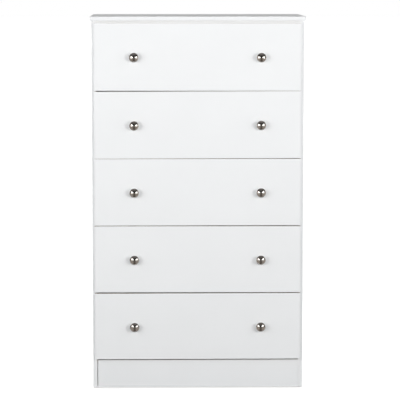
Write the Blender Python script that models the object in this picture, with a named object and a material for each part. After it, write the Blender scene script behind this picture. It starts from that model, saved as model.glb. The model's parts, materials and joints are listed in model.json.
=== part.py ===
# Tall chest with five equal drawers, in metres, +Z up.
#
# The origin is on the floor, at the middle of the chest's outline seen from above
# (the knobs count in that outline). The drawer fronts face -Y. Drawer 1 is the top one.
# Every drawer has a parent empty on its slide axis, and opens towards -Y.

from math import asin, cos, pi, radians, sin, sqrt

import bpy
import bmesh
from mathutils import Vector

# ---- Driving dimensions ------------------------------------------------------------

FIT = 0.0003                    # gap left between two pieces that touch
OVERSHOOT = 0.002               # how far a cutter runs past the face it opens

# Carcass
OVERALL_HEIGHT = 1.352          # floor to top surface
BODY_WIDTH = 0.762              # over both side panels
BODY_DEPTH = 0.400              # side panels, front edge to rear edge
BOARD = 0.015                   # laminated board of the carcass and the fronts
BACK_THICKNESS = 0.003          # hardboard back
BACK_INSET = 0.002              # back panel's edge inside the side panel's outer face
BACK_FLOOR_GAP = 0.020          # below the back panel
TOP_SIDE_OVERHANG = 0.0055      # top panel past each side panel
TOP_FRONT_OVERHANG = 0.005      # top panel past the drawer fronts
TOP_EDGE_RADIUS = 0.002         # eased edges of the top panel
RAIL_HEIGHT = 0.055             # front top, rear top and middle rails
BASE_HEIGHT = 0.1100            # floor to the lowest drawer front
TOE_KICK_DROP = 0.0056          # lowest drawer front to the toe kick's top edge
TOE_KICK_FLOOR_GAP = 0.005      # below the toe kick and the rear base rail
TOE_KICK_LEFT_GAP = 0.0024      # open joint at the toe kick's left end

# Floor glides
GLIDE_RADIUS = 0.0065
GLIDE_THICKNESS = 0.003
GLIDE_SETBACK = 0.030           # glide centre from the side panel's front or rear edge
GLIDE_CHAMFER = 0.0006
NAIL_RADIUS = 0.0012
NAIL_LENGTH = 0.014
NAIL_TIP = 0.002
GLIDE_SEGMENTS = 16

# Drawers
DRAWERS = 5
DRAWER_ABOVE_MIDDLE_RAIL = 3    # the middle rail is between this drawer and the next
TOP_REVEAL = 0.0075             # top panel's underside to the first drawer front
FRONT_SPACING = 0.0033          # between two drawer fronts
FRONT_SIDE_REVEAL = 0.0085      # side panel's outer face to the drawer front's end
FRONT_STANDOFF = 0.0015         # closed drawer front to the side panels' front edges
BOX_THICKNESS = 0.015           # drawer sides and back
BOX_SIDE_CLEARANCE = 0.003      # drawer side to side panel
BOX_REAR_CLEARANCE = 0.055      # how much shorter the drawer box is than the body
BOX_LIFT = 0.018                # drawer front's lower edge to the box's lower edge
RAIL_CLEARANCE = 0.026          # top rail to the first drawer's box
BOTTOM_THICKNESS = 0.003        # hardboard drawer bottom
BOTTOM_LIFT = 0.012             # box's lower edge to the drawer bottom
BOTTOM_GROOVE_DEPTH = 0.005
BOTTOM_CLEARANCE = 0.0003       # all round the drawer bottom in its grooves

# Drawer runners: a plastic rail on the side panel, in a groove in the drawer side
RUNNER_HEIGHT = 0.017
RUNNER_ENGAGEMENT = 0.0055      # how far the rail reaches into the groove
RUNNER_SLACK = 0.0008           # below the rail, and past its face, in the groove
RUNNER_SETBACK = 0.010          # side panel's front edge to the rail's front end
RUNNER_NOSE = 0.0015            # chamfer at the rail's ends
LUG_LENGTH = 0.010              # stop lug at the rail's front end
LUG_DEPTH = 0.002               # how far the lug stands out from the rail's face
STOP_LENGTH = 0.070             # shallow rear end of the groove, which meets the lug
GROOVE_END_GAP = 0.003          # groove ahead of the rail's front end
RUNNER_SCREWS = 3
RUNNER_SCREW_END = 0.040        # outer screws from the rail's ends
SCREW_HOLE_RADIUS = 0.002
SCREW_SINK_RADIUS = 0.004
SCREW_HOLE_SEGMENTS = 12

# Knobs
KNOB_SPACING = 0.457            # between the two knobs of a drawer
KNOB_PROJECTION = 0.0275
KNOB_DROP = 0.0012              # knob centre below the middle of its front
KNOB_RADIUS = 0.017
KNOB_DOME_RADIUS = 0.021        # curvature of the domed face
KNOB_RIM = 0.0022               # thickness of the rim
KNOB_NECK_RADIUS = 0.0055
KNOB_BASE_RADIUS = 0.0085
KNOB_BASE_THICKNESS = 0.0025
KNOB_SCREW_RADIUS = 0.002
KNOB_SCREW_HOLE = 0.0024        # radius of the hole through the drawer front
KNOB_SCREW_HEAD_RADIUS = 0.0042
KNOB_SCREW_HEAD_FLAT = 0.0026   # radius of the head's flat top
KNOB_SCREW_HEAD_HEIGHT = 0.0022
KNOB_SEGMENTS = 20
DOME_STEPS = 4
COVE_STEPS = 4

# ---- Places worked out from them ---------------------------------------------------

total_depth = (KNOB_PROJECTION + BOARD + FRONT_STANDOFF + BODY_DEPTH + FIT
               + BACK_THICKNESS)
rear_y = total_depth / 2
back_inner_y = rear_y - BACK_THICKNESS
side_rear_y = back_inner_y - FIT
side_front_y = side_rear_y - BODY_DEPTH
front_inner_y = side_front_y - FRONT_STANDOFF
front_face_y = front_inner_y - BOARD
top_front_y = front_face_y - TOP_FRONT_OVERHANG

outer_x = BODY_WIDTH / 2
inner_x = outer_x - BOARD
top_underside = OVERALL_HEIGHT - BOARD
side_bottom = GLIDE_THICKNESS + FIT
side_top = top_underside - FIT
toe_kick_top = BASE_HEIGHT - TOE_KICK_DROP
rail_x = inner_x - FIT

first_front_top = top_underside - TOP_REVEAL
fronts_height = first_front_top - BASE_HEIGHT
front_height = (fronts_height - (DRAWERS - 1) * FRONT_SPACING) / DRAWERS
front_pitch = front_height + FRONT_SPACING
front_x = outer_x - FRONT_SIDE_REVEAL

box_x = inner_x - BOX_SIDE_CLEARANCE
box_inner_x = box_x - BOX_THICKNESS
box_front_y = front_inner_y + FIT
box_rear_y = front_inner_y + BODY_DEPTH - BOX_REAR_CLEARANCE
box_top_drop = RAIL_HEIGHT - TOP_REVEAL + RAIL_CLEARANCE
box_height = front_height - BOX_LIFT - box_top_drop
bottom_groove_height = BOTTOM_THICKNESS + 2 * BOTTOM_CLEARANCE
bottom_x = box_inner_x + BOTTOM_GROOVE_DEPTH - BOTTOM_CLEARANCE

runner_front_y = side_front_y + RUNNER_SETBACK
runner_rear_y = box_rear_y
lug_rear_y = runner_front_y + LUG_LENGTH
groove_front_y = runner_front_y - GROOVE_END_GAP
stop_front_y = box_rear_y - STOP_LENGTH
shallow_groove = RUNNER_ENGAGEMENT + RUNNER_SLACK
deep_groove = shallow_groove + LUG_DEPTH


# ---- Materials ---------------------------------------------------------------------

def principled(name, color, roughness, metallic=0.0):
    material = bpy.data.materials.new(name)
    material.use_nodes = True
    shader = material.node_tree.nodes["Principled BSDF"]
    shader.inputs["Base Color"].default_value = (*color, 1.0)
    shader.inputs["Roughness"].default_value = roughness
    shader.inputs["Metallic"].default_value = metallic
    material.diffuse_color = (*color, 1.0)
    return material


def white_laminate(name):
    return principled(name, (0.83, 0.84, 0.85), 0.42)


def white_hardboard(name):
    return principled(name, (0.78, 0.78, 0.77), 0.60)


def white_plastic(name):
    return principled(name, (0.80, 0.80, 0.78), 0.45)


def polished_nickel(name):
    return principled(name, (0.62, 0.60, 0.58), 0.16, 1.0)


# ---- Shape helpers -----------------------------------------------------------------

def clear_scene():
    for item in list(bpy.data.objects):
        bpy.data.objects.remove(item, do_unlink=True)


def add_object(name, mesh, place, finish=None, parent=None):
    """Link an object at a world place, under its parent empty if it has one."""
    item = bpy.data.objects.new(name, mesh)
    bpy.context.scene.collection.objects.link(item)
    item.parent = parent
    origin = parent.location if parent else Vector((0, 0, 0))
    item.location = Vector(place) - origin
    if finish:
        mesh.materials.append(finish(name + "_finish"))
    return item


def box_mesh(name, size):
    mesh = bpy.data.meshes.new(name)
    shape = bmesh.new()
    bmesh.ops.create_cube(shape, size=1.0)
    bmesh.ops.scale(shape, vec=size, verts=shape.verts)
    shape.to_mesh(mesh)
    shape.free()
    return mesh


def block(name, low, high, finish=None, parent=None):
    """A rectangular piece between two corners, with its origin at its middle."""
    low, high = Vector(low), Vector(high)
    return add_object(name, box_mesh(name, high - low), (low + high) / 2, finish, parent)


def mark_cutter(cutter):
    cutter.hide_render = True
    cutter.display_type = "WIRE"


def cut(target, cutter):
    mark_cutter(cutter)
    boolean = target.modifiers.new(cutter.name, "BOOLEAN")
    boolean.operation = "DIFFERENCE"
    boolean.object = cutter


def cut_block(target, name, low, high, parent=None):
    cut(target, block(name, low, high, parent=parent))


def ease_edges(item, radius, segments=2):
    bevel = item.modifiers.new("eased_edges", "BEVEL")
    bevel.width = radius
    bevel.segments = segments


def turned(name, profile, segments, place, finish=None, parent=None, tilt=(0, 0, 0)):
    """A turned piece. The profile is (radius, height) points from the tip down."""
    mesh = bpy.data.meshes.new(name)
    points = [(radius, 0, height) for radius, height in profile]
    edges = [(index, index + 1) for index in range(len(points) - 1)]
    mesh.from_pydata(points, edges, [])
    item = add_object(name, mesh, place, finish, parent)
    item.rotation_euler = tilt
    screw = item.modifiers.new("turned", "SCREW")
    screw.steps = segments
    screw.render_steps = segments
    screw.use_smooth_shade = True
    screw.use_merge_vertices = True
    screw.merge_threshold = 0.00001
    return item


def arc(centre, radius, start, end, steps):
    """Points on an arc of (radius, height) coordinates, angles in radians from +X."""
    angles = [start + (end - start) * step / steps for step in range(steps + 1)]
    return [(centre[0] + radius * cos(a), centre[1] + radius * sin(a)) for a in angles]


# ---- Carcass -----------------------------------------------------------------------

def make_top():
    top_x = outer_x + TOP_SIDE_OVERHANG
    top = block("top_panel", (-top_x, top_front_y, top_underside),
                (top_x, rear_y, OVERALL_HEIGHT), white_laminate)
    ease_edges(top, TOP_EDGE_RADIUS)


def make_side(hand, sign):
    """A side panel, standing on its two glides, with a hole for each glide's nail."""
    low_x, high_x = sorted((sign * inner_x, sign * outer_x))
    side = block(hand + "_side_panel", (low_x, side_front_y, side_bottom),
                 (high_x, side_rear_y, side_top), white_laminate)
    middle_x = sign * (inner_x + outer_x) / 2
    places = (("front", side_front_y + GLIDE_SETBACK), ("rear", side_rear_y - GLIDE_SETBACK))
    for end, y in places:
        hole_length = NAIL_LENGTH + 2 * FIT
        hole = turned(f"{end}_{hand}_nail_hole",
                      [(0, hole_length), (NAIL_RADIUS + FIT, hole_length),
                       (NAIL_RADIUS + FIT, -OVERSHOOT), (0, -OVERSHOOT)],
                      GLIDE_SEGMENTS, (middle_x, y, GLIDE_THICKNESS))
        cut(side, hole)
        make_glide(f"{end}_{hand}_floor_glide", (middle_x, y, 0))


def make_glide(name, place):
    """A round plastic glide moulded on a nail."""
    profile = [(0, GLIDE_THICKNESS + NAIL_LENGTH),
               (NAIL_RADIUS, GLIDE_THICKNESS + NAIL_LENGTH - NAIL_TIP),
               (NAIL_RADIUS, GLIDE_THICKNESS),
               (GLIDE_RADIUS, GLIDE_THICKNESS),
               (GLIDE_RADIUS, GLIDE_CHAMFER),
               (GLIDE_RADIUS - GLIDE_CHAMFER, 0),
               (0, 0)]
    turned(name, profile, GLIDE_SEGMENTS, place, white_plastic)


def make_rail(name, front_y, low_z, high_z):
    block(name, (-rail_x, front_y, low_z), (rail_x, front_y + BOARD, high_z), white_laminate)


def make_rails():
    rear_rail_y = side_rear_y - BOARD
    make_rail("front_top_rail", side_front_y, side_top - RAIL_HEIGHT, side_top)
    make_rail("rear_top_rail", rear_rail_y, side_top - RAIL_HEIGHT, side_top)
    upper_box_bottom = front_bottom(DRAWER_ABOVE_MIDDLE_RAIL) + BOX_LIFT
    lower_box_top = upper_box_bottom - front_pitch + box_height
    middle_z = (upper_box_bottom + lower_box_top) / 2
    make_rail("middle_front_rail", side_front_y, middle_z - RAIL_HEIGHT / 2,
              middle_z + RAIL_HEIGHT / 2)
    make_rail("rear_base_rail", rear_rail_y, TOE_KICK_FLOOR_GAP, toe_kick_top - BOARD - FIT)


def make_base():
    toe_rear_y = side_front_y + BOARD
    block("toe_kick", (-inner_x + TOE_KICK_LEFT_GAP, side_front_y, TOE_KICK_FLOOR_GAP),
          (rail_x, toe_rear_y, toe_kick_top), white_laminate)
    block("bottom_panel", (-rail_x, toe_rear_y + FIT, toe_kick_top - BOARD),
          (rail_x, side_rear_y, toe_kick_top), white_laminate)


def make_back():
    back_x = outer_x - BACK_INSET
    block("back_panel", (-back_x, back_inner_y, BACK_FLOOR_GAP), (back_x, rear_y, side_top),
          white_hardboard)


# ---- Drawers -----------------------------------------------------------------------

def front_bottom(number):
    """Height of a drawer front's lower edge."""
    return first_front_top - front_height - (number - 1) * front_pitch


def knob_profile():
    """From the middle of the dome, down round the rim and neck, to the screw's head."""
    cap = KNOB_DOME_RADIUS - sqrt(KNOB_DOME_RADIUS ** 2 - KNOB_RADIUS ** 2)
    rim_top = KNOB_PROJECTION - cap
    rim_bottom = rim_top - KNOB_RIM
    dome_centre = (0, KNOB_PROJECTION - KNOB_DOME_RADIUS)
    rim_angle = pi / 2 - asin(KNOB_RADIUS / KNOB_DOME_RADIUS)
    dome = arc(dome_centre, KNOB_DOME_RADIUS, pi / 2, rim_angle, DOME_STEPS)
    cove_radius = min(KNOB_RADIUS - KNOB_NECK_RADIUS, rim_bottom - KNOB_BASE_THICKNESS)
    cove_centre = (KNOB_NECK_RADIUS + cove_radius, rim_bottom - cove_radius)
    cove = arc(cove_centre, cove_radius, pi / 2, pi, COVE_STEPS)
    inside = -BOARD - FIT
    return ([(0, KNOB_PROJECTION)] + dome[1:] + cove
            + [(KNOB_NECK_RADIUS, KNOB_BASE_THICKNESS),
               (KNOB_BASE_RADIUS, KNOB_BASE_THICKNESS),
               (KNOB_BASE_RADIUS, FIT),
               (KNOB_SCREW_RADIUS, FIT),
               (KNOB_SCREW_RADIUS, inside),
               (KNOB_SCREW_HEAD_RADIUS, inside),
               (KNOB_SCREW_HEAD_FLAT, inside - KNOB_SCREW_HEAD_HEIGHT),
               (0, inside - KNOB_SCREW_HEAD_HEIGHT)])


def make_front(prefix, bottom, slide):
    """A drawer front, with the drawer bottom's groove and the knobs' screw holes."""
    front = block(prefix + "front", (-front_x, front_face_y, bottom),
                  (front_x, front_inner_y, bottom + front_height), white_laminate, slide)
    groove_z = bottom + BOX_LIFT + BOTTOM_LIFT - BOTTOM_CLEARANCE
    groove_x = box_inner_x + BOTTOM_GROOVE_DEPTH
    cut_block(front, prefix + "front_groove",
              (-groove_x, front_inner_y - BOTTOM_GROOVE_DEPTH, groove_z),
              (groove_x, front_inner_y + OVERSHOOT, groove_z + bottom_groove_height), slide)
    along_front = (pi / 2, 0, 0)
    for hand, sign in (("left", -1), ("right", 1)):
        place = (sign * KNOB_SPACING / 2, front_face_y, bottom + front_height / 2 - KNOB_DROP)
        hole = turned(f"{prefix}{hand}_knob_hole",
                      [(0, OVERSHOOT), (KNOB_SCREW_HOLE, OVERSHOOT),
                       (KNOB_SCREW_HOLE, -BOARD - OVERSHOOT), (0, -BOARD - OVERSHOOT)],
                      KNOB_SEGMENTS, place, parent=slide, tilt=along_front)
        cut(front, hole)
        turned(f"{prefix}{hand}_knob", knob_profile(), KNOB_SEGMENTS, place,
               polished_nickel, slide, along_front)


def make_box_side(prefix, hand, sign, box_bottom, slide):
    """A drawer side: the runner's groove outside, the drawer bottom's groove inside."""
    low_x, high_x = sorted((sign * box_inner_x, sign * box_x))
    name = f"{prefix}{hand}_side"
    side = block(name, (low_x, box_front_y, box_bottom),
                 (high_x, box_rear_y, box_bottom + box_height), white_laminate, slide)

    groove_z = box_bottom + BOTTOM_LIFT - BOTTOM_CLEARANCE
    low_x, high_x = sorted((sign * (box_inner_x - OVERSHOOT),
                            sign * (box_inner_x + BOTTOM_GROOVE_DEPTH)))
    cut_block(side, name + "_bottom_groove", (low_x, box_front_y - OVERSHOOT, groove_z),
              (high_x, box_rear_y + OVERSHOOT, groove_z + bottom_groove_height), slide)

    low_z, high_z = runner_heights(box_bottom)
    lengths = (("stop", shallow_groove, stop_front_y - OVERSHOOT, box_rear_y + OVERSHOOT),
               ("main", deep_groove, groove_front_y, stop_front_y))
    for part, depth, start_y, end_y in lengths:
        low_x, high_x = sorted((sign * (box_x - depth), sign * (box_x + OVERSHOOT)))
        cut_block(side, f"{name}_{part}_groove", (low_x, start_y, low_z - RUNNER_SLACK),
                  (high_x, end_y, high_z + FIT), slide)


def make_box(prefix, box_bottom, slide):
    """The drawer box behind a front: two sides, a back, and a bottom in their grooves."""
    for hand, sign in (("left", -1), ("right", 1)):
        make_box_side(prefix, hand, sign, box_bottom, slide)
    bottom_z = box_bottom + BOTTOM_LIFT
    bottom_top = bottom_z + BOTTOM_THICKNESS
    block(prefix + "bottom",
          (-bottom_x, front_inner_y - BOTTOM_GROOVE_DEPTH + BOTTOM_CLEARANCE, bottom_z),
          (bottom_x, box_rear_y, bottom_top), white_hardboard, slide)
    back_x = box_inner_x - FIT
    block(prefix + "back", (-back_x, box_rear_y - BOX_THICKNESS, bottom_top + FIT),
          (back_x, box_rear_y, box_bottom + box_height), white_laminate, slide)


def runner_heights(box_bottom):
    """Lower and upper faces of the rail, at the middle of the drawer side's height."""
    middle = box_bottom + box_height / 2
    return middle - RUNNER_HEIGHT / 2, middle + RUNNER_HEIGHT / 2


def runner_outline(sign):
    """The rail seen from above: chamfered ends, and the stop lug at the front end."""
    foot_x = inner_x - FIT
    face_x = box_x - RUNNER_ENGAGEMENT
    lug_x = face_x - LUG_DEPTH
    points = [(foot_x, runner_front_y),
              (foot_x, runner_rear_y),
              (face_x + RUNNER_NOSE, runner_rear_y),
              (face_x, runner_rear_y - RUNNER_NOSE),
              (face_x, lug_rear_y),
              (lug_x, lug_rear_y),
              (lug_x, runner_front_y + RUNNER_NOSE),
              (lug_x + RUNNER_NOSE, runner_front_y)]
    return [(sign * x, y) for x, y in points]


def make_runner(prefix, hand, sign, box_bottom):
    """A plastic rail on the side panel, with countersunk screw holes."""
    low_z, high_z = runner_heights(box_bottom)
    name = f"{prefix}{hand}_runner"
    outline = runner_outline(sign)
    middle_y = (runner_front_y + runner_rear_y) / 2
    origin = Vector((sign * inner_x, middle_y, low_z))
    mesh = bpy.data.meshes.new(name)
    shape = bmesh.new()
    corners = [shape.verts.new(Vector((x, y, low_z)) - origin) for x, y in outline]
    base = shape.faces.new(corners)
    grown = bmesh.ops.extrude_face_region(shape, geom=[base])["geom"]
    upper = [item for item in grown if isinstance(item, bmesh.types.BMVert)]
    bmesh.ops.translate(shape, vec=(0, 0, RUNNER_HEIGHT), verts=upper)
    bmesh.ops.recalc_face_normals(shape, faces=shape.faces)
    shape.to_mesh(mesh)
    shape.free()
    runner = add_object(name, mesh, origin, white_plastic)

    first_y = runner_front_y + RUNNER_SCREW_END
    last_y = runner_rear_y - RUNNER_SCREW_END
    depth = BOX_SIDE_CLEARANCE + RUNNER_ENGAGEMENT
    sink_depth = SCREW_SINK_RADIUS - SCREW_HOLE_RADIUS
    for index in range(RUNNER_SCREWS):
        y = first_y + (last_y - first_y) * index / (RUNNER_SCREWS - 1)
        profile = [(0, OVERSHOOT),
                   (SCREW_SINK_RADIUS + OVERSHOOT, OVERSHOOT),
                   (SCREW_HOLE_RADIUS, -sink_depth),
                   (SCREW_HOLE_RADIUS, -depth - OVERSHOOT),
                   (0, -depth - OVERSHOOT)]
        hole = turned(f"{name}_hole_{index + 1}", profile, SCREW_HOLE_SEGMENTS,
                      (sign * (box_x - RUNNER_ENGAGEMENT), y, (low_z + high_z) / 2),
                      tilt=(0, -sign * pi / 2, 0))
        cut(runner, hole)


def make_drawer(number):
    prefix = f"drawer_{number}_"
    bottom = front_bottom(number)
    box_bottom = bottom + BOX_LIFT
    slide = bpy.data.objects.new(prefix + "slide", None)
    bpy.context.scene.collection.objects.link(slide)
    slide.location = (0, front_inner_y, box_bottom + box_height / 2)
    make_front(prefix, bottom, slide)
    make_box(prefix, box_bottom, slide)
    for hand, sign in (("left", -1), ("right", 1)):
        make_runner(prefix, hand, sign, box_bottom)


def main():
    clear_scene()
    make_top()
    for hand, sign in (("left", -1), ("right", 1)):
        make_side(hand, sign)
    make_rails()
    make_base()
    make_back()
    for number in range(1, DRAWERS + 1):
        make_drawer(number)


main()
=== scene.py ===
# Tall white chest with five drawers: the fine surface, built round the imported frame.
# Metres, +Z up, fronts facing -Y. Every place is worked out from the frame's own boxes.

import json
from math import asin, atan2, cos, pi, radians, sin, tan

import bmesh
import bpy
from mathutils import Matrix, Vector

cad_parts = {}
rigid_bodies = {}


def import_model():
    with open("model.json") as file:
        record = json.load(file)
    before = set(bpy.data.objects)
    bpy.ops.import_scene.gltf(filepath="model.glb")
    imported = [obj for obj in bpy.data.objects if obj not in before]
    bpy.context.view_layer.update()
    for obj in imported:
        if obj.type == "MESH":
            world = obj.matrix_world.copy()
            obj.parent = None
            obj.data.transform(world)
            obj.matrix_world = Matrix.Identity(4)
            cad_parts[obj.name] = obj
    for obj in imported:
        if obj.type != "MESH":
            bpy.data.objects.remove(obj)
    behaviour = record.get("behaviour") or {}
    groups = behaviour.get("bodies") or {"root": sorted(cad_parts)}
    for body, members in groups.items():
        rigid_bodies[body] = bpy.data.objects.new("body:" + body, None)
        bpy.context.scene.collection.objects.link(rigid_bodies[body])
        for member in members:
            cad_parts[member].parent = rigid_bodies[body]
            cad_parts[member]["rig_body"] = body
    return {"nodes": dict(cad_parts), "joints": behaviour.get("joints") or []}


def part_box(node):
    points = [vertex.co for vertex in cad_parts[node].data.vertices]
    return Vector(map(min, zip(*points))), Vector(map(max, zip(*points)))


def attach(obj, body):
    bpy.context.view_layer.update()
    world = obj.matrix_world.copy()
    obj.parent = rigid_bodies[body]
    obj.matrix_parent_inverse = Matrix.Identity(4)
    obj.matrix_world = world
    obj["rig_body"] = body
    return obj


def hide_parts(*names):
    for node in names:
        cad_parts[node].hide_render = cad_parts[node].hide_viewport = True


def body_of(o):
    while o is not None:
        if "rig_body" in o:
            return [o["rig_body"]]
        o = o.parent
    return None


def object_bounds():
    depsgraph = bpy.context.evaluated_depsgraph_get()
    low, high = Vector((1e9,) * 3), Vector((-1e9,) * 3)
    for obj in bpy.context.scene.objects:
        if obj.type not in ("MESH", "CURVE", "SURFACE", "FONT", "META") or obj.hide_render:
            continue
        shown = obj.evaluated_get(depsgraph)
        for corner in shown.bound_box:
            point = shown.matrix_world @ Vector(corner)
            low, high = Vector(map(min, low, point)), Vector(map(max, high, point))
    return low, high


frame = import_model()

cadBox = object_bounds()
scene = bpy.context.scene
drawerNumbers = range(1, len(frame["joints"]) + 1)
hands = (("left", -1), ("right", 1))
mm = 0.001
tiny = 1e-7                     # metres: a radius below this is a point on the axis


# The finishes. Patterns are in object coordinates, which are the frame's own metres.

def newFinish(name, colour, roughness, metallic=0.0):
    finish = bpy.data.materials.new(name)
    finish.use_nodes = True
    shader = finish.node_tree.nodes["Principled BSDF"]
    shader.inputs["Base Color"].default_value = (*colour, 1)
    shader.inputs["Roughness"].default_value = roughness
    shader.inputs["Metallic"].default_value = metallic
    finish.diffuse_color = (*colour, 1)
    place = finish.node_tree.nodes.new("ShaderNodeTexCoord").outputs["Object"]
    return finish, finish.node_tree, shader, place


def stretched(tree, place, scale):
    mapping = tree.nodes.new("ShaderNodeMapping")
    mapping.inputs["Scale"].default_value = scale
    tree.links.new(place, mapping.inputs["Vector"])
    return mapping.outputs["Vector"]


def noise(tree, place, perMetre, detail=3.0, rough=0.5):
    node = tree.nodes.new("ShaderNodeTexNoise")
    node.inputs["Scale"].default_value = perMetre
    node.inputs["Detail"].default_value = detail
    node.inputs["Roughness"].default_value = rough
    tree.links.new(place, node.inputs["Vector"])
    return node.outputs["Fac"]


def cells(tree, place, perMetre, output="Color", feature="F1"):
    node = tree.nodes.new("ShaderNodeTexVoronoi")
    node.feature = feature
    node.inputs["Scale"].default_value = perMetre
    tree.links.new(place, node.inputs["Vector"])
    return node.outputs[output]


def ramp(tree, value, stops):
    node = tree.nodes.new("ShaderNodeValToRGB")
    marks = node.color_ramp.elements
    while len(marks) < len(stops):
        marks.new(0.5)
    for mark, (position, colour) in zip(marks, stops):
        mark.position = position
        mark.color = (*colour, 1)
    tree.links.new(value, node.inputs["Fac"])
    return node.outputs["Color"]


def blended(tree, factor, first, second, how="MIX"):
    node = tree.nodes.new("ShaderNodeMix")
    node.data_type = "RGBA"
    node.blend_type = how
    for value, socket in ((factor, node.inputs[0]), (first, node.inputs[6]), (second, node.inputs[7])):
        if isinstance(value, (int, float)):
            socket.default_value = value
        elif isinstance(value, tuple):
            socket.default_value = (*value, 1)
        else:
            tree.links.new(value, socket)
    return node.outputs[2]


def ranged(tree, value, low, high, fromLow=0.3, fromHigh=0.7):
    node = tree.nodes.new("ShaderNodeMapRange")
    for name, number in (("From Min", fromLow), ("From Max", fromHigh), ("To Min", low), ("To Max", high)):
        node.inputs[name].default_value = number
    tree.links.new(value, node.inputs["Value"])
    return node.outputs["Result"]


def combined(tree, how, first, second):
    node = tree.nodes.new("ShaderNodeMath")
    node.operation = how
    for value, socket in zip((first, second), node.inputs):
        if isinstance(value, (int, float)):
            socket.default_value = value
        else:
            tree.links.new(value, socket)
    return node.outputs["Value"]


def waves(tree, place, axis, perMetre):
    # a wave with perMetre crests in every metre
    node = tree.nodes.new("ShaderNodeTexWave")
    node.bands_direction = axis
    node.inputs["Scale"].default_value = perMetre * pi / 10
    tree.links.new(place, node.inputs["Vector"])
    return node.outputs["Fac"]


def raised(tree, shader, layers):
    # bumps one on another, each (height pattern, strength, depth in metres)
    normal = None
    for height, strength, depth in layers:
        bump = tree.nodes.new("ShaderNodeBump")
        bump.inputs["Strength"].default_value = strength
        bump.inputs["Distance"].default_value = depth
        tree.links.new(height, bump.inputs["Height"])
        if normal:
            tree.links.new(normal, bump.inputs["Normal"])
        normal = bump.outputs["Normal"]
    tree.links.new(normal, shader.inputs["Normal"])


def paintWith(tree, shader, colour):
    tree.links.new(colour, shader.inputs["Base Color"])


def shineWith(tree, shader, roughness):
    tree.links.new(roughness, shader.inputs["Roughness"])


def whiteLaminate(name, white, sheen):
    # melamine paper pressed on board: a fine pearl grain, and very faint clouding
    finish, tree, shader, place = newFinish(name, white, sheen)
    clouds = noise(tree, place, 5, 4)
    grain = noise(tree, place, 900, 2)
    shade = tuple(0.985 * part for part in white)
    paintWith(tree, shader, ramp(tree, clouds, ((0.35, shade), (0.65, white))))
    smears = noise(tree, stretched(tree, place, (1, 1, 0.35)), 22, 3)
    shineWith(tree, shader, ranged(tree, smears, sheen - 0.03, sheen + 0.05))
    raised(tree, shader, ((grain, 0.25, 0.00004), (noise(tree, place, 90, 2), 0.12, 0.00008)))
    return finish


def edgeBand(name, white, sheen):
    # thin plastic edge strip: glossier than the faces, with fine lines along it
    finish, tree, shader, place = newFinish(name, white, sheen)
    streaks = noise(tree, stretched(tree, place, (1, 12, 1)), 160, 2)
    shade = tuple(0.975 * part for part in white)
    paintWith(tree, shader, ramp(tree, streaks, ((0.3, shade), (0.7, white))))
    shineWith(tree, shader, ranged(tree, noise(tree, place, 60, 2), sheen - 0.04, sheen + 0.06))
    raised(tree, shader, ((streaks, 0.3, 0.00005),))
    return finish


def chipboard(name):
    # the sawn edge of the board: pressed chips, darker and looser at the middle
    finish, tree, shader, place = newFinish(name, (0.36, 0.25, 0.15), 0.9)
    chips = cells(tree, place, 420)
    browns = ((0.1, (0.20, 0.125, 0.07)), (0.45, (0.40, 0.27, 0.16)), (0.9, (0.58, 0.43, 0.28)))
    tone = ramp(tree, chips, browns)
    dust = ramp(tree, noise(tree, place, 1500, 3), ((0.35, (0.72, 0.72, 0.72)), (0.65, (1, 1, 1))))
    paintWith(tree, shader, blended(tree, 1.0, tone, dust, "MULTIPLY"))
    hollows = cells(tree, place, 420, "Distance")
    raised(tree, shader, ((hollows, 0.8, 0.0004), (noise(tree, place, 1500, 2), 0.5, 0.0002)))
    return finish


def rawHardboard(name, across, up):
    # brown fibreboard, with the mesh of the press screen on its back
    finish, tree, shader, place = newFinish(name, (0.30, 0.18, 0.10), 0.85)
    blotches = noise(tree, place, 14, 5, 0.6)
    browns = ((0.30, (0.215, 0.128, 0.066)), (0.52, (0.285, 0.178, 0.098)), (0.75, (0.365, 0.24, 0.142)))
    tone = ramp(tree, blotches, browns)
    fibres = noise(tree, place, 620, 4, 0.7)
    shades = ((0.30, (0.62, 0.60, 0.58)), (0.55, (1.0, 1.0, 1.0)), (0.72, (1.25, 1.22, 1.18)))
    flecks = ramp(tree, fibres, shades)
    paintWith(tree, shader, blended(tree, 1.0, tone, flecks, "MULTIPLY"))
    screen = combined(tree, "MAXIMUM", waves(tree, place, across, 520), waves(tree, place, up, 520))
    raised(tree, shader, ((screen, 0.7, 0.00025), (fibres, 0.4, 0.00015)))
    return finish


def whiteHardboard(name):
    # the printed white side of the hardboard, slightly fibrous
    finish, tree, shader, place = newFinish(name, (0.78, 0.78, 0.77), 0.5)
    fibres = noise(tree, place, 240, 4, 0.65)
    paintWith(tree, shader, ramp(tree, fibres, ((0.3, (0.74, 0.74, 0.725)), (0.6, (0.80, 0.80, 0.79)))))
    shineWith(tree, shader, ranged(tree, noise(tree, place, 30, 2), 0.44, 0.58))
    raised(tree, shader, ((fibres, 0.35, 0.00008),))
    return finish


def mouldedPlastic(name, colour, sheen):
    # injection-moulded rail and glide plastic, spark-eroded finish with flow clouds
    finish, tree, shader, place = newFinish(name, colour, sheen)
    flow = noise(tree, stretched(tree, place, (1, 0.15, 1)), 40, 3)
    shade = tuple(0.94 * part for part in colour)
    paintWith(tree, shader, ramp(tree, flow, ((0.35, shade), (0.65, colour))))
    shineWith(tree, shader, ranged(tree, flow, sheen + 0.06, sheen - 0.04))
    raised(tree, shader, ((noise(tree, place, 1100, 2), 0.3, 0.00006),))
    shader.inputs["Subsurface Weight"].default_value = 0.06
    shader.inputs["Subsurface Scale"].default_value = 0.002
    return finish


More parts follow.
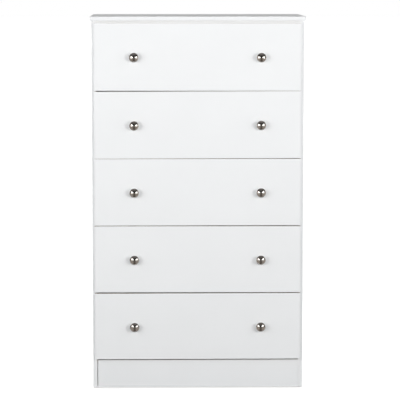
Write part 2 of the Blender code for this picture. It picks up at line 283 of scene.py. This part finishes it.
def polishedNickel(name):
    # warm bright plating, polished in a lathe, with the haze that fingers leave
    finish, tree, shader, place = newFinish(name, (0.66, 0.625, 0.585), 0.11, 1.0)
    haze = noise(tree, place, 120, 3)
    paintWith(tree, shader, ramp(tree, haze, ((0.3, (0.60, 0.565, 0.53)), (0.7, (0.70, 0.665, 0.625)))))
    shineWith(tree, shader, ranged(tree, haze, 0.13, 0.08))
    raised(tree, shader, ((noise(tree, place, 2600, 2), 0.1, 0.00001),))
    return finish


def zincPlate(name):
    # dull plated steel of screws, nails and cams
    finish, tree, shader, place = newFinish(name, (0.58, 0.58, 0.56), 0.38, 1.0)
    spangle = cells(tree, place, 1300)
    paintWith(tree, shader, ramp(tree, spangle, ((0.2, (0.50, 0.50, 0.48)), (0.8, (0.66, 0.66, 0.65)))))
    shineWith(tree, shader, ranged(tree, noise(tree, place, 700, 2), 0.32, 0.48))
    raised(tree, shader, ((noise(tree, place, 1800, 3), 0.35, 0.00003),))
    return finish


finishes = {
    "frontFace": whiteLaminate("front_laminate", (0.86, 0.868, 0.872), 0.40),
    "carcassFace": whiteLaminate("carcass_laminate", (0.85, 0.86, 0.866), 0.42),
    "drawerFace": whiteLaminate("drawer_laminate", (0.83, 0.838, 0.842), 0.46),
    "band": edgeBand("edge_band", (0.86, 0.868, 0.875), 0.32),
    "raw": chipboard("sawn_chipboard"),
    "backOutside": rawHardboard("back_hardboard_screen_side", "X", "Z"),
    "bottomOutside": rawHardboard("bottom_hardboard_screen_side", "X", "Y"),
    "hardboardInside": whiteHardboard("hardboard_printed_side"),
    "runner": mouldedPlastic("runner_plastic", (0.78, 0.77, 0.73), 0.36),
    "glide": mouldedPlastic("glide_plastic", (0.70, 0.68, 0.62), 0.40),
    "knob": polishedNickel("knob_nickel"),
    "zinc": zincPlate("zinc_plate"),
}
frontFinishes = [finishes["frontFace"], finishes["band"], finishes["raw"]]
carcassFinishes = [finishes["carcassFace"], finishes["band"], finishes["raw"]]
drawerFinishes = [finishes["drawerFace"], finishes["band"], finishes["raw"]]
print("finishes:", len(finishes))


# Pieces in general

def addPiece(name, shape, materials, body, standsFor=(), smooth=False):
    mesh = bpy.data.meshes.new(name)
    shape.to_mesh(mesh)
    shape.free()
    for material in materials:
        mesh.materials.append(material)
    if smooth:
        mesh.shade_smooth()
        mesh.set_sharp_from_angle(angle=radians(smooth))
    piece = bpy.data.objects.new(name, mesh)
    scene.collection.objects.link(piece)
    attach(piece, body)
    if standsFor:
        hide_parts(*standsFor)
    return piece


def nodeShape(node):
    # a node's own solid, with the triangles of each flat face joined
    shape = bmesh.new()
    shape.from_mesh(frame["nodes"][node].data)
    bmesh.ops.remove_doubles(shape, verts=shape.verts, dist=0.001 * mm)
    bmesh.ops.dissolve_limit(shape, angle_limit=radians(0.5), verts=shape.verts, edges=shape.edges)
    return shape


def blockShape(low, high):
    shape = bmesh.new()
    bmesh.ops.create_cube(shape, size=1)
    bmesh.ops.scale(shape, vec=high - low, verts=shape.verts)
    bmesh.ops.translate(shape, vec=(low + high) / 2, verts=shape.verts)
    return shape


def turnedShape(profile, segments, matrix=Matrix()):
    # quads round the z axis from (radius, height) points; a radius of 0 closes an end
    shape = bmesh.new()
    rings = []
    for radius, height in profile:
        if radius < tiny:
            rings.append([shape.verts.new(matrix @ Vector((0, 0, height)))])
            continue
        angles = [2 * pi * step / segments for step in range(segments)]
        points = [Vector((radius * cos(a), radius * sin(a), height)) for a in angles]
        rings.append([shape.verts.new(matrix @ point) for point in points])
    for upper, lower in zip(rings, rings[1:]):
        for step in range(segments):
            after = (step + 1) % segments
            corners = [upper[step % len(upper)], lower[step % len(lower)],
                       lower[after % len(lower)], upper[after % len(upper)]]
            shape.faces.new(list(dict.fromkeys(corners)))
    bmesh.ops.recalc_face_normals(shape, faces=shape.faces)
    return shape


def arc(middle, radius, start, end, steps):
    angles = [radians(start + (end - start) * step / steps) for step in range(steps + 1)]
    return [(middle[0] + radius * cos(a), middle[1] + radius * sin(a)) for a in angles]


def facing(place, outward):
    # a matrix whose z axis points outward at a place
    return Matrix.Translation(place) @ Vector(outward).to_track_quat("Z", "Y").to_matrix().to_4x4()


def copies(shape, matrices):
    # one shape with a copy of the given shape at every matrix
    mesh = bpy.data.meshes.new("pattern")
    shape.to_mesh(mesh)
    group = bmesh.new()
    for matrix in matrices:
        before = len(group.verts)
        group.from_mesh(mesh)
        group.verts.ensure_lookup_table()
        bmesh.ops.transform(group, matrix=matrix, verts=group.verts[before:])
    bpy.data.meshes.remove(mesh)
    return group


def cutShape(shape, cutter):
    # the first shape less the second, by the exact Boolean
    items = []
    for name, part in (("whole", shape), ("cutter", cutter)):
        mesh = bpy.data.meshes.new(name)
        part.to_mesh(mesh)
        part.free()
        item = bpy.data.objects.new(name, mesh)
        scene.collection.objects.link(item)
        items.append(item)
    whole, tool = items
    boolean = whole.modifiers.new("cut", "BOOLEAN")
    boolean.operation = "DIFFERENCE"
    boolean.object = tool
    evaluated = whole.evaluated_get(bpy.context.evaluated_depsgraph_get())
    result = bmesh.new()
    result.from_mesh(evaluated.to_mesh())
    evaluated.to_mesh_clear()
    for item in items:
        mesh = item.data
        bpy.data.objects.remove(item)
        bpy.data.meshes.remove(mesh)
    return result


# Boards: faces laminated, some edges banded and eased, the other edges and all grooves bare

laminated, banding, bare = range(3)     # the order of the finishes of every board


def boardSide(face, low, high):
    # which side of the board's box a face lies on, such as "+x", or nothing inside a groove
    axis = max(range(3), key=lambda index: abs(face.normal[index]))
    corner = high if face.normal[axis] > 0 else low
    depth = abs(face.calc_center_median()[axis] - corner[axis])
    if abs(face.normal[axis]) < 0.999 or depth > 0.05 * mm:
        return None
    return ("+" if face.normal[axis] > 0 else "-") + "xyz"[axis]


def finishBoard(shape, low, high, thin, banded, ease, steps=3):
    sides = {face: boardSide(face, low, high) for face in shape.faces}
    for face, side in sides.items():
        if side is None:
            face.material_index = bare
        elif side[1] == thin:
            face.material_index = laminated
        else:
            face.material_index = banding if side in banded else bare
    eased = []
    for edge in shape.edges:
        around = [sides[face] for face in edge.link_faces]
        if None not in around and len(set(around)) == 2 and set(around) & set(banded):
            eased.append(edge)
    if eased:
        bmesh.ops.bevel(shape, geom=eased, offset=ease, segments=steps, profile=0.5,
                        affect="EDGES", clamp_overlap=True, material=banding)


def addBoard(node, thin, banded, ease, materials, move=None, fresh=False):
    low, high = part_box(node)
    shape = blockShape(low, high) if fresh else nodeShape(node)
    finishBoard(shape, low, high, thin, banded, ease)
    if move:
        bmesh.ops.transform(shape, matrix=move, verts=shape.verts)
    name = node.replace("panel", "board") if "panel" in node else node + "_board"
    return addPiece(name, shape, materials, body_of(frame["nodes"][node])[0], (node,))


boards = {
    "faceEase": 0.5 * mm,       # drawer fronts' banded edges
    "carcassEase": 0.7 * mm,
    "topEase": 0.9 * mm,
    "boxEase": 0.8 * mm,        # drawer sides' and backs' upper edges
}


def addCarcass():
    around = ("-x", "+x", "-y")
    ease = boards["carcassEase"]
    addBoard("top_panel", "z", around, boards["topEase"], carcassFinishes, fresh=True)
    for hand, sign in hands:
        addBoard(f"{hand}_side_panel", "x", ("-y",), ease, carcassFinishes)
    addBoard("toe_kick", "y", ("+z",), ease, carcassFinishes)
    addBoard("bottom_panel", "z", (), 0, carcassFinishes)
    for rail, edge in (("front_top_rail", "-z"), ("middle_front_rail", "+z"),
                       ("rear_top_rail", "-z"), ("rear_base_rail", "+z")):
        addBoard(rail, "y", (edge,), ease, carcassFinishes)


# Hardware that is made once and copied

hardware = {
    "segments": 32,
    "crossWidth": 0.95 * mm,
    "crossTaper": 0.55,         # a cross recess's tip as a share of its mouth
    "above": 0.5 * mm,          # how far the punch of a recess starts above the head
}
flatHead = {
    "radius": 3.7 * mm,
    "edge": 0.2 * mm,
    "shank": 1.7 * mm,          # radius
    "length": 6 * mm,
    "crossReach": 3.6 * mm,
    "crossDepth": 1.5 * mm,
}
panHead = {
    "radius": 4.2 * mm,
    "rise": 2.2 * mm,
    "round": 1.5 * mm,
    "off": 0.05 * mm,           # above the board it is screwed to
    "crossReach": 4.4 * mm,
    "crossDepth": 1.3 * mm,
}
camDisc = {
    "radius": 7.5 * mm,
    "standsOut": 0.15 * mm,
    "dish": 0.35 * mm,
    "rim": (1.6 * mm, 1.35 * mm),   # the dish's edge, at its floor and at its top
    "edge": 0.2 * mm,
    "depth": 0.6 * mm,
    "crossReach": 7.5 * mm,
    "crossDepth": 0.5 * mm,
}
nailHead = {
    "segments": 20,
    "radius": 2.6 * mm,
    "crown": ((0, 0.55 * mm), (0.5, 0.5 * mm), (0.85, 0.35 * mm), (1, 0.12 * mm)),
    "shank": 0.6 * mm,          # radius
    "length": 1 * mm,
}


def slotCutter(length, breadth, top, depth):
    # one arm of a cross-shaped punch, tapered towards its tip
    cutter = bmesh.new()
    taper = hardware["crossTaper"]
    corners = ((-1, -1), (1, -1), (1, 1), (-1, 1))
    mouth = [(x * length / 2, y * breadth / 2) for x, y in corners]
    ring = [cutter.verts.new((x, y, top)) for x, y in mouth]
    tip = [cutter.verts.new((x * taper, y * taper, top - depth)) for x, y in mouth]
    cutter.faces.new(ring)
    cutter.faces.new(list(reversed(tip)))
    for index in range(4):
        after = (index + 1) % 4
        cutter.faces.new((ring[after], ring[index], tip[index], tip[after]))
    bmesh.ops.recalc_face_normals(cutter, faces=cutter.faces)
    return cutter


def crossed(profile, reach, depth):
    # a turned head with a cross recess, cut one arm at a time
    head = turnedShape(profile, hardware["segments"])
    top = max(height for _, height in profile) + hardware["above"]
    width = hardware["crossWidth"]
    for length, breadth in ((reach, width), (width, reach)):
        head = cutShape(head, slotCutter(length, breadth, top, depth + hardware["above"]))
    return head


def flatScrewShape():
    # countersunk screw, its head's face at height 0
    radius, edge, shank = flatHead["radius"], flatHead["edge"], flatHead["shank"]
    profile = [(0, 0), (radius - edge, 0), (radius, -edge), (shank, shank - radius),
               (shank, -flatHead["length"]), (0, -flatHead["length"])]
    return crossed(profile, flatHead["crossReach"], flatHead["crossDepth"])


def panScrewShape():
    radius, rise, soft = panHead["radius"], panHead["rise"], panHead["round"]
    profile = [(0, rise)]
    profile += arc((radius - soft, rise - soft), soft, 90, 0, 6)
    profile += [(radius, panHead["off"]), (0, panHead["off"])]
    return crossed(profile, panHead["crossReach"], panHead["crossDepth"])


def camShape():
    # the disc of a cam lock, seen in the face of a board
    radius, proud, edge = camDisc["radius"], camDisc["standsOut"], camDisc["edge"]
    floorRim, topRim = camDisc["rim"]
    dished = proud - camDisc["dish"]
    profile = [(0, dished), (radius - floorRim, dished), (radius - topRim, proud),
               (radius - edge, proud), (radius, proud - edge),
               (radius, -camDisc["depth"]), (0, -camDisc["depth"])]
    return crossed(profile, camDisc["crossReach"], camDisc["crossDepth"])


def nailShape():
    radius, shank, length = nailHead["radius"], nailHead["shank"], nailHead["length"]
    profile = [(radius * share, height) for share, height in nailHead["crown"]]
    profile += [(radius, 0), (shank, 0), (shank, -length), (0, -length)]
    return turnedShape(profile, nailHead["segments"])


def addFixings(name, shape, places, body):
    # one piece with a copy of a screw, nail or cam at every place
    addPiece(name, copies(shape, places), [finishes["zinc"]], body, smooth=35)


flatScrew = flatScrewShape()
panScrew = panScrewShape()
cam = camShape()
nail = nailShape()


# Drawers

hang = {
    "shift": -1.0 * mm,         # all the fronts, to the left
    # how far each front's left and right end sits above its true place, top drawer first
    "leftRise": (-1.2, -1.7, 0.5, 1.7, 0.5),
    "rightRise": (-2.1, 0.1, 1.0, 0.6, 0.8),
}


def frontHang(number):
    # the small slant and rise that a hand-fitted front has
    low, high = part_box(f"drawer_{number}_front")
    middle = (low + high) / 2
    left = hang["leftRise"][number - 1] * mm
    right = hang["rightRise"][number - 1] * mm
    slant = atan2(right - left, high.x - low.x)
    lift = Vector((hang["shift"], 0, (left + right) / 2))
    return Matrix.Translation(middle + lift) @ Matrix.Rotation(-slant, 4, "Y") @ Matrix.Translation(-middle)


knob = {
    "segments": 72,
    "domeRadius": 21 * mm,
    "domeSteps": 16,
    "rim": 2.2 * mm,
    "rimRound": 0.8 * mm,
    "lip": 2.2 * mm,            # width of the flat under the rim
    "step": 0.4 * mm,           # how far the neck's top sits behind it
    "neckRadius": 5.5 * mm,
    "shoulder": 3.4 * mm,       # rim's inner edge to the widest part of the neck
    "baseRadius": 8.5 * mm,
    "baseThickness": 2.5 * mm,
    "baseRound": 0.8 * mm,
    "fillet": 0.3 * mm,         # between the neck and the base, and under the base
}


def knobProfile(radius, projection):
    # (radius, height) points from the middle of the dome round to the foot
    dome, soft = knob["domeRadius"], knob["rimRound"]
    edge = radius - soft
    centre = projection - dome
    slope = asin(edge / dome)
    angles = [slope * step / knob["domeSteps"] for step in range(knob["domeSteps"] + 1)]
    profile = [(dome * sin(angle), centre + dome * cos(angle)) for angle in angles]
    domeEdge = centre + dome * cos(slope)
    underside = domeEdge - knob["rim"]
    profile += arc((edge, domeEdge - soft), soft, 75, 0, 4)
    profile += arc((edge, underside + soft), soft, 0, -90, 4)
    coveTop = underside - knob["step"]
    profile += [(edge - knob["lip"], underside), (edge - knob["lip"] - knob["step"], coveTop)]
    neck, foot, fillet = knob["neckRadius"], knob["baseThickness"], knob["fillet"]
    cove = min(edge - knob["shoulder"] - neck, coveTop - foot - 2 * fillet)
    profile += arc((neck + cove, coveTop - cove), cove, 90, 180, 8)
    base, turn = knob["baseRadius"], knob["baseRound"]
    profile += [(neck, foot + fillet), (neck + fillet, foot), (base - turn, foot)]
    profile += arc((base - turn, foot - turn), turn, 90, 0, 4)
    profile += [(base, fillet), (0, fillet)]
    return profile


def addKnob(number, hand, move):
    node = f"drawer_{number}_{hand}_knob"
    low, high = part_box(node)
    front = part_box(f"drawer_{number}_front")
    place = Vector(((low.x + high.x) / 2, front[0].y, (low.z + high.z) / 2))
    profile = knobProfile((high.x - low.x) / 2, front[0].y - low.y)
    outward = Matrix.Translation(place) @ Matrix.Rotation(pi / 2, 4, "X")
    body = f"drawer_{number}"
    shape = turnedShape(profile, knob["segments"], move @ outward)
    addPiece(node + "_turned", shape, [finishes["knob"]], body, (node,), smooth=40)
    behind = facing((place.x, front[1].y, place.z), (0, 1, 0))
    addFixings(node + "_screw", panScrew, [move @ behind], body)


def sheetShape(low, high, thin, columns, rows, lift):
    # a thin closed sheet with a grid on both faces; lift moves each point along the thin axis
    axes = [axis for axis in range(3) if axis != thin]
    shape = bmesh.new()
    grids = []
    for side, corner in ((0, low), (1, high)):
        grid = []
        for row in range(rows + 1):
            line = []
            for column in range(columns + 1):
                u, v = column / columns, row / rows
                point = Vector((0, 0, 0))
                point[axes[0]] = low[axes[0]] + (high[axes[0]] - low[axes[0]]) * u
                point[axes[1]] = low[axes[1]] + (high[axes[1]] - low[axes[1]]) * v
                point[thin] = corner[thin] + lift(u, v, side)
                line.append(shape.verts.new(point))
            grid.append(line)
        grids.append(grid)
    for side, grid in enumerate(grids):
        for row in range(rows):
            for column in range(columns):
                face = shape.faces.new((grid[row][column], grid[row][column + 1],
                                        grid[row + 1][column + 1], grid[row + 1][column]))
                face.material_index = side
    first, second = grids
    rims = [([line[0] for line in first], [line[0] for line in second]),
            ([line[-1] for line in first], [line[-1] for line in second]),
            (first[0], second[0]), (first[-1], second[-1])]
    for lower, upper in rims:
        for index in range(len(lower) - 1):
            face = shape.faces.new((lower[index], lower[index + 1], upper[index + 1], upper[index]))
            face.material_index = 2
    bmesh.ops.recalc_face_normals(shape, faces=shape.faces)
    return shape


drawerBottom = {
    "sag": 1.6 * mm,            # at the middle of the sheet
    "columns": 24,
    "rows": 12,
}
camLock = {
    "fromEnd": 24 * mm,         # cam's centre from the end of the board it tightens
    "fromEdge": 34 * mm,        # and from the long edge of a drawer side
    "sideFromEdge": 85 * mm,    # from the front or rear edge of a side panel
    "baseFromFront": 60 * mm,
    "baseFromRear": 70 * mm,
}


def bottomSag(u, v, side):
    return -drawerBottom["sag"] * sin(pi * u) * sin(pi * v)


def addDrawerBottom(number):
    node = f"drawer_{number}_bottom"
    low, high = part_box(node)
    shape = sheetShape(low, high, 2, drawerBottom["columns"], drawerBottom["rows"], bottomSag)
    materials = [finishes["bottomOutside"], finishes["hardboardInside"], finishes["bottomOutside"]]
    addPiece(node + "_sheet", shape, materials, f"drawer_{number}", (node,))


def addBoxFixings(number):
    # cams inside the drawer sides that hold the front, and screws into the ends of the back
    body = f"drawer_{number}"
    for hand, sign in hands:
        low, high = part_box(f"drawer_{number}_{hand}_side")
        inside = low.x if sign > 0 else high.x
        outside = high.x if sign > 0 else low.x
        heights = (low.z + camLock["fromEdge"], high.z - camLock["fromEdge"])
        places = [facing((inside, low.y + camLock["fromEnd"], z), (-sign, 0, 0)) for z in heights]
        addFixings(f"drawer_{number}_{hand}_cams", cam, places, body)
        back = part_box(f"drawer_{number}_back")
        y = (back[0].y + back[1].y) / 2
        places = [facing((outside, y, z), (sign, 0, 0)) for z in heights]
        addFixings(f"drawer_{number}_{hand}_back_screws", flatScrew, places, body)


def addDrawer(number):
    move = frontHang(number)
    ends = ("-x", "+x")
    ease = boards["boxEase"]
    addBoard(f"drawer_{number}_front", "y", ends, boards["faceEase"], frontFinishes, move)
    for hand, sign in hands:
        addBoard(f"drawer_{number}_{hand}_side", "x", ("+z",), ease, drawerFinishes)
        addKnob(number, hand, move)
    addBoard(f"drawer_{number}_back", "y", ("+z",), ease, drawerFinishes)
    addDrawerBottom(number)
    addBoxFixings(number)


# Carcass fixings, runners, back and glides

runner = {
    "edge": 0.35 * mm,
    "lug": 2 * mm,              # how far its stop lug stands out from its face
    "screws": 3,
    "screwFromEnd": 40 * mm,
    "screwSunk": 0.3 * mm,
}
backSheet = {
    "leaves": 3,                # the sheet comes folded in three
    "foldDepth": 1.1 * mm,
    "foldReach": 2.5 * mm,
    "columns": 96,
    "rows": 60,
    "bulge": 0.35 * mm,
    "bulgesUp": 3,              # how often it bulges from bottom to top
    "nailInset": 8 * mm,
    "nailSpacing": 120 * mm,
    "nailPressed": 0.05 * mm,
}
glide = {
    "segments": 40,
    "disc": 3 * mm,
    "nail": 1.2 * mm,           # radius
    "point": 2 * mm,
    "topRound": 0.5 * mm,
    "floorRound": 1.2 * mm,
}


def addRunnerScrews(number, hand, sign):
    low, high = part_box(f"drawer_{number}_{hand}_runner")
    lugFace = high.x if sign < 0 else low.x
    head = lugFace + sign * (runner["lug"] + runner["screwSunk"])
    first, last = low.y + runner["screwFromEnd"], high.y - runner["screwFromEnd"]
    places = []
    for index in range(runner["screws"]):
        y = first + (last - first) * index / (runner["screws"] - 1)
        places.append(facing((head, y, (low.z + high.z) / 2), (-sign, 0, 0)))
    addFixings(f"drawer_{number}_{hand}_runner_screws", flatScrew, places, "carcass")


def addRunners():
    for number in drawerNumbers:
        for hand, sign in hands:
            node = frame["nodes"][f"drawer_{number}_{hand}_runner"]
            node.data.materials.clear()
            node.data.materials.append(finishes["runner"])
            soften = node.modifiers.new("moulded_edges", "BEVEL")
            soften.width = runner["edge"]
            soften.segments = 2
            soften.limit_method = "ANGLE"
            soften.angle_limit = radians(50)
            addRunnerScrews(number, hand, sign)


def addCarcassCams():
    places = []
    for hand, sign in hands:
        low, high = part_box(f"{hand}_side_panel")
        inside = low.x if sign > 0 else high.x
        for y in (low.y + camLock["sideFromEdge"], high.y - camLock["sideFromEdge"]):
            places.append(facing((inside, y, high.z - camLock["fromEnd"]), (-sign, 0, 0)))
        for rail in ("front_top_rail", "middle_front_rail", "rear_top_rail", "rear_base_rail", "toe_kick"):
            railLow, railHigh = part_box(rail)
            inner = railHigh.y if railHigh.y < 0 else railLow.y
            outward = (0, 1, 0) if railHigh.y < 0 else (0, -1, 0)
            x = sign * (railHigh.x - camLock["fromEnd"])
            places.append(facing((x, inner, (railLow.z + railHigh.z) / 2), outward))
        baseLow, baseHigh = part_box("bottom_panel")
        x = sign * (baseHigh.x - camLock["fromEnd"])
        for y in (baseLow.y + camLock["baseFromFront"], baseHigh.y - camLock["baseFromRear"]):
            places.append(facing((x, y, baseLow.z), (0, 0, -1)))
    addFixings("carcass_cams", cam, places, "carcass")


def backLift(u, v, side):
    # the leaves belly a little between the nails, and are scored where they fold
    leaves = backSheet["leaves"]
    leaf = u * leaves % 1
    belly = backSheet["bulge"] * sin(pi * leaf) * abs(sin(pi * v * backSheet["bulgesUp"]))
    if not side or round(u * leaves) in (0, leaves):
        return belly
    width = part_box("back_panel")[1].x * 2
    fromFold = min(leaf, 1 - leaf) * width / leaves
    return belly - backSheet["foldDepth"] * max(0, 1 - fromFold / backSheet["foldReach"])


def addBack():
    low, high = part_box("back_panel")
    shape = sheetShape(low, high, 1, backSheet["columns"], backSheet["rows"], backLift)
    materials = [finishes["hardboardInside"], finishes["backOutside"], finishes["backOutside"]]
    addPiece("back_board", shape, materials, "carcass", ("back_panel",))

    inset, spacing = backSheet["nailInset"], backSheet["nailSpacing"]
    across, up = high.x - low.x - 2 * inset, high.z - low.z - 2 * inset
    acrossCount, upCount = round(across / spacing), round(up / spacing)
    points = []
    for index in range(upCount + 1):
        z = low.z + inset + up * index / upCount
        points += [(low.x + inset, z), (high.x - inset, z)]
    baseLow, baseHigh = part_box("bottom_panel")
    for index in range(1, acrossCount):
        x = low.x + inset + across * index / acrossCount
        points += [(x, high.z - inset), (x, (baseLow.z + baseHigh.z) / 2)]
    places = [facing((x, high.y - backSheet["nailPressed"], z), (0, 1, 0)) for x, z in points]
    addFixings("back_nails", nail, places, "carcass")


def glideProfile(radius, height):
    # (radius, height) points from the nail's point down to the middle of the disc
    disc, shank, soft, worn = glide["disc"], glide["nail"], glide["topRound"], glide["floorRound"]
    profile = [(0, height), (shank, height - glide["point"]), (shank, disc), (radius - soft, disc)]
    profile += arc((radius - soft, disc - soft), soft, 90, 0, 4)
    profile += arc((radius - worn, worn), worn, 0, -90, 6)
    return profile + [(0, 0)]


def addGlides():
    # a plastic disc on its nail, under each corner
    for end in ("front", "rear"):
        for hand, sign in hands:
            node = f"{end}_{hand}_floor_glide"
            low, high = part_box(node)
            middle = Vector(((low.x + high.x) / 2, (low.y + high.y) / 2, 0))
            profile = glideProfile((high.x - low.x) / 2, high.z)
            shape = turnedShape(profile, glide["segments"], Matrix.Translation(middle))
            materials = [finishes["glide"]]
            addPiece(node + "_turned", shape, materials, "carcass", (node,), smooth=35)


addCarcass()
addCarcassCams()
addBack()
addGlides()
addRunners()
print("carcass done")
for number in drawerNumbers:
    addDrawer(number)
print("drawers done:", len(drawerNumbers))


# Camera, floor and light

camera = {
    "place": (-0.141, -7.698, 1.516),
    "lens": 188.25,
    "down": 6.265,              # degrees below the horizon
    "right": 1.134,             # degrees to the right of straight ahead
}


def addCamera():
    data = bpy.data.cameras.new("camera")
    data.lens = camera["lens"]
    data.sensor_width = 36
    data.clip_end = 200
    item = bpy.data.objects.new("camera", data)
    item.location = camera["place"]
    item.rotation_euler = (radians(90 - camera["down"]), 0, radians(-camera["right"]))
    scene.collection.objects.link(item)
    scene.camera = item


studio = {
    "floorRadius": 60.0,
    # lamps either side of the camera; matt surfaces see them, bright metal does not
    "key": {
        "azimuth": 34,          # degrees, like the tilts
        "distance": 5.8,
        "height": 1.33,
        "tilt": 22,
        "size": 1.0,
        "power": {"left": 60, "right": 67},
    },
    # long white panels along both walls
    "flat": {"aside": 2.5, "near": -1.2, "far": -6.9, "low": 0.5, "high": 2.4, "power": 84},
    # place in depth, height, tilt, sizes and power
    "fills": {
        "low_fill": (-7.4, 1.5, 45, (2.0, 1.0), 17),
        "high_fill": (-6.4, 1.95, 30, (2.4, 0.8), 150),
    },
    "backdrop": 1.2,            # the white wall behind, felt by whatever faces up or back
    "bounce": 0.136,            # what comes back up from the floor
    "floorGlow": 0.55,
}
# the room that the knobs mirror: the two ends of each part, and the directions they lie in
mirrored = {
    "ground": ((0.12, 0.105, 0.095), (0.38, 0.35, 0.32), (0.15, 0.55)),         # to the sides
    "overhead": ((0.035, 0.034, 0.034), (0.24, 0.225, 0.225), (0.55, 1.0)),     # upwards
    "wall": ((0.10, 0.10, 0.10), (0.30, 0.30, 0.30), (0.15, 0.4)),              # upwards
}


def paleFloor():
    finish, tree, shader, place = newFinish("pale_floor", (0.93, 0.93, 0.93), 0.7)
    mottle = noise(tree, place, 1.3, 3)
    paintWith(tree, shader, ramp(tree, mottle, ((0.3, (0.925, 0.925, 0.925)), (0.7, (0.94, 0.94, 0.94)))))
    shader.inputs["Emission Color"].default_value = (1, 1, 1, 1)
    shader.inputs["Emission Strength"].default_value = studio["floorGlow"]
    return finish


def addFloor():
    shape = bmesh.new()
    bmesh.ops.create_circle(shape, cap_ends=True, segments=96, radius=studio["floorRadius"])
    mesh = bpy.data.meshes.new("floor")
    shape.to_mesh(mesh)
    shape.free()
    mesh.materials.append(paleFloor())
    floor = bpy.data.objects.new("floor", mesh)
    scene.collection.objects.link(floor)
    floor.visible_glossy = False
    floor.visible_diffuse = False


def addArea(name, place, direction, sizes, power):
    data = bpy.data.lights.new(name, "AREA")
    data.shape = "RECTANGLE"
    data.size, data.size_y = sizes
    data.energy = power
    light = bpy.data.objects.new(name, data)
    light.location = place
    light.rotation_euler = Vector(direction).to_track_quat("-Z", "Y").to_euler()
    scene.collection.objects.link(light)
    light.visible_camera = False
    return light


def addLights():
    key, flat = studio["key"], studio["flat"]
    front = cadBox[0].y
    turn = radians(key["azimuth"])
    for hand, sign in hands:
        toward = Vector((-sign * sin(turn), cos(turn), 0))
        place = Vector((0, front, key["height"])) - toward * key["distance"]
        lamp = addArea(f"{hand}_key", place, toward + Vector((0, 0, tan(radians(key["tilt"])))),
                       (key["size"], key["size"]), key["power"][hand])
        lamp.visible_glossy = False
        depth, height = (flat["near"] + flat["far"]) / 2, (flat["low"] + flat["high"]) / 2
        sizes = (flat["near"] - flat["far"], flat["high"] - flat["low"])
        addArea(f"{hand}_flat", (sign * flat["aside"], depth, height), (-sign, 0, 0), sizes, flat["power"])
    for name, (y, height, tilt, sizes, power) in studio["fills"].items():
        lamp = addArea(name, (0, y, height), (0, 1, tan(radians(tilt))), sizes, power)
        lamp.visible_glossy = False


def addWorld():
    # white behind everything, soft light all round, and a dim room in the reflections
    world = bpy.data.worlds.new("studio")
    scene.world = world
    world.use_nodes = True
    tree = world.node_tree
    background = tree.nodes["Background"]
    rays = tree.nodes.new("ShaderNodeLightPath")
    direction = tree.nodes.new("ShaderNodeTexCoord").outputs["Generated"]
    parts = tree.nodes.new("ShaderNodeSeparateXYZ")
    tree.links.new(direction, parts.inputs["Vector"])
    rear = tuple(studio["backdrop"] * part for part in (1.0, 0.995, 0.995))
    lower = tuple(studio["bounce"] * part for part in (0.95, 1.0, 1.05))
    depth, height = parts.outputs["Y"], parts.outputs["Z"]
    sky = blended(tree, ranged(tree, depth, 0, 1, -0.02, 0.02), (0.0, 0.0, 0.0), rear)
    soft = blended(tree, ranged(tree, height, 0, 1, -0.02, 0.02), lower, sky)

    def fading(name, direction):
        first, second, (start, end) = mirrored[name]
        return blended(tree, ranged(tree, direction, 0, 1, start, end), first, second)

    ground = fading("ground", combined(tree, "ABSOLUTE", parts.outputs["X"], 0))
    overhead = fading("overhead", height)
    room = blended(tree, ranged(tree, height, 0, 1, -0.06, 0.02), ground, overhead)
    wall = fading("wall", height)
    room = blended(tree, ranged(tree, depth, 0, 1, -0.05, 0.25), room, wall)
    seen = blended(tree, rays.outputs["Is Glossy Ray"], soft, room)
    seen = blended(tree, rays.outputs["Is Camera Ray"], seen, (1.0, 1.0, 1.0))
    tree.links.new(seen, background.inputs["Color"])


addCamera()
addFloor()
addLights()
addWorld()
scene.view_settings.view_transform = "Standard"
print("studio done")
